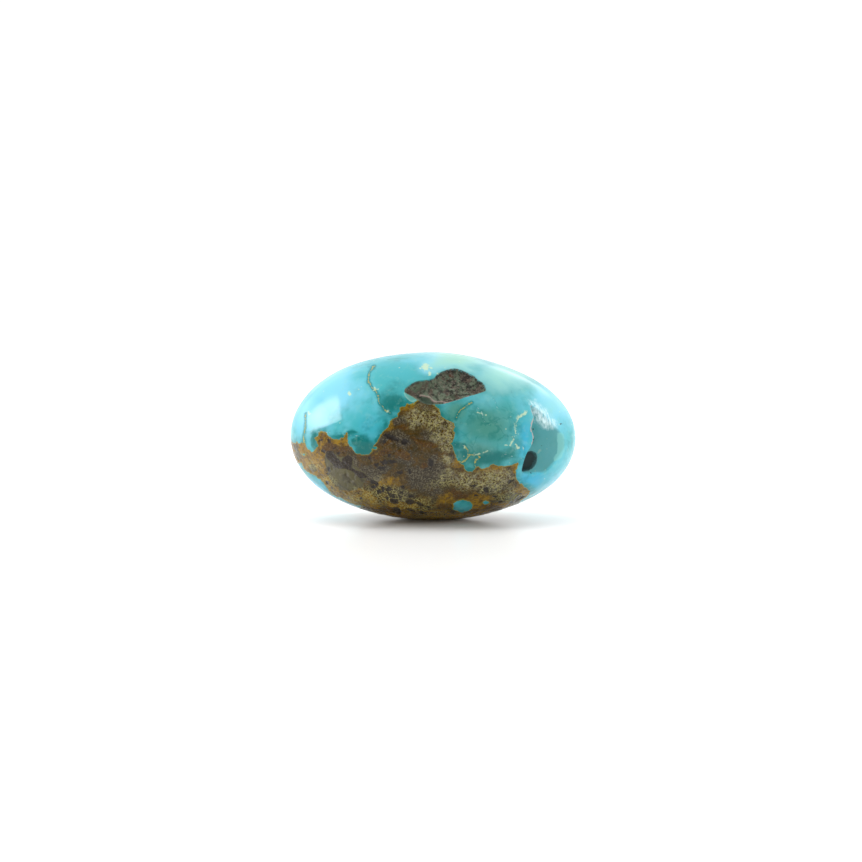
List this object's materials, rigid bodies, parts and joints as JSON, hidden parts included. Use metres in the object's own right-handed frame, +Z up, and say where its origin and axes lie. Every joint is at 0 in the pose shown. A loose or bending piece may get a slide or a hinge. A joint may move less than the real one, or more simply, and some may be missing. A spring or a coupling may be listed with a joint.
{
  "type": "turquoise nugget",
  "caption": "Tumbled and polished oval turquoise pebble with brown limonite matrix, a rough chip, a stepped pit at one end and a small worn flat to rest on.",
  "frame": {"origin": "centre of the worn flat that the stone rests on, under the middle of its outline", "axes": "+X along the stone towards the end with the stepped pit, -Y towards its best side with the brown matrix, +Z up"},
  "size_m": [0.03, 0.0205, 0.0176],
  "materials": {
    "polished_turquoise": "tumble-polished turquoise with limonite matrix"
  },
  "bodies": {
    "root": {"turquoise_nugget": "polished_turquoise"}
  },
  "joints": []
}
